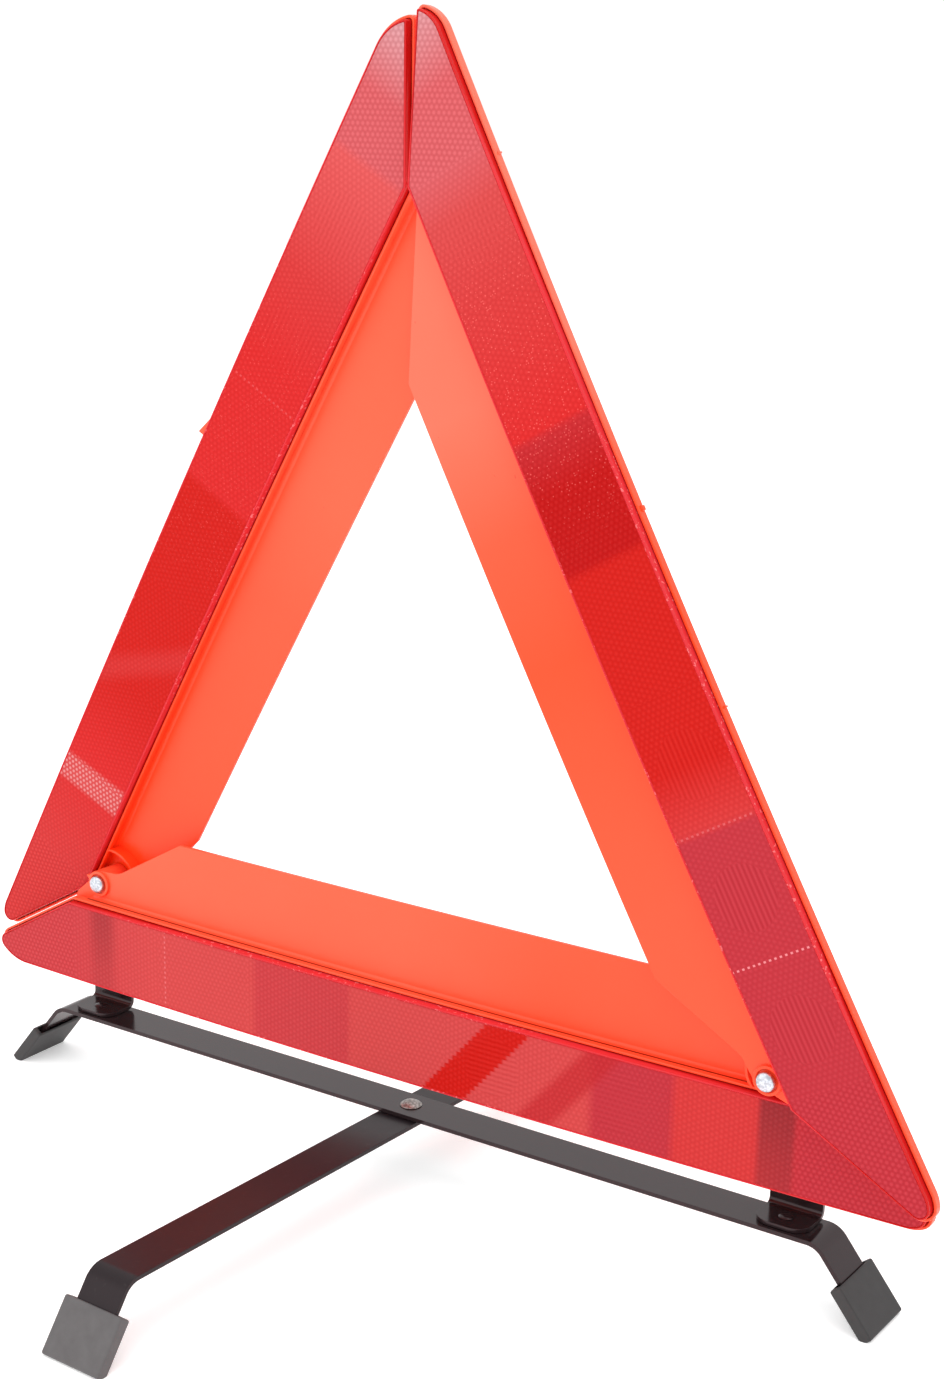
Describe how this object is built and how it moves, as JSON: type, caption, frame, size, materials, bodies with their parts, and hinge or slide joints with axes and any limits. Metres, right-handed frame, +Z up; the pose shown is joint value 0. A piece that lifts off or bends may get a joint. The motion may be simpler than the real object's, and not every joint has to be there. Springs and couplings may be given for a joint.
{
  "type": "warning triangle",
  "caption": "Folding roadside warning triangle: hinged orange arms with red prism reflectors, riveted on a crossed strip-steel stand with rubber boots.",
  "frame": {"origin": "on the ground, on the axis of the rivet that joins the two stand legs", "axes": "+X to the right along the fixed cross leg as seen from the front, +Z up, the reflectors face -Y"},
  "size_m": [0.4292, 0.354, 0.4164],
  "materials": {
    "orange_plastic": "satin moulded fluorescent orange",
    "red_reflector": "glossy transparent red over moulded prisms",
    "black_steel": "glossy black paint",
    "dark_steel": "dull grey rivet",
    "zinc_steel": "bright zinc plate",
    "black_rubber": "matt soft rubber"
  },
  "bodies": {
    "base": {"bottom_frame": "orange_plastic", "bottom_reflector": "red_reflector", "left_pivot_rivet": "zinc_steel", "right_pivot_rivet": "zinc_steel", "left_pivot_washer": "zinc_steel", "right_pivot_washer": "zinc_steel", "cross_leg": "black_steel", "leg_rivet": "dark_steel", "leg_washer": "dark_steel", "left_foot": "black_rubber", "right_foot": "black_rubber", "left_bracket": "black_steel", "right_bracket": "black_steel", "left_leg_rivet": "black_steel", "right_leg_rivet": "black_steel", "left_frame_rivet": "zinc_steel", "right_frame_rivet": "zinc_steel"},
    "left_arm": {"left_frame": "orange_plastic", "left_reflector": "red_reflector"},
    "right_arm": {"right_frame": "orange_plastic", "right_reflector": "red_reflector"},
    "lower_leg": {"swing_leg": "black_steel", "front_foot": "black_rubber", "rear_foot": "black_rubber"}
  },
  "joints": [
    {"name": "left_arm_fold", "type": "hinge", "parent": "base", "child": "left_arm", "pos_m": [-0.152, 0.0096, 0.08374], "axis": [-0.1129, 0.9931, -0.0309], "range_deg": [0, 60]},
    {"name": "right_arm_fold", "type": "hinge", "parent": "base", "child": "right_arm", "pos_m": [0.152, -0.0136, 0.08374], "axis": [0.0889, -0.9959, -0.0193], "range_deg": [0, 60]},
    {"name": "leg_swing", "type": "hinge", "parent": "base", "child": "lower_leg", "pos_m": [0, 0, 0.026], "axis": [0, 0, 1], "range_deg": [-87.5, 92.5]}
  ]
}
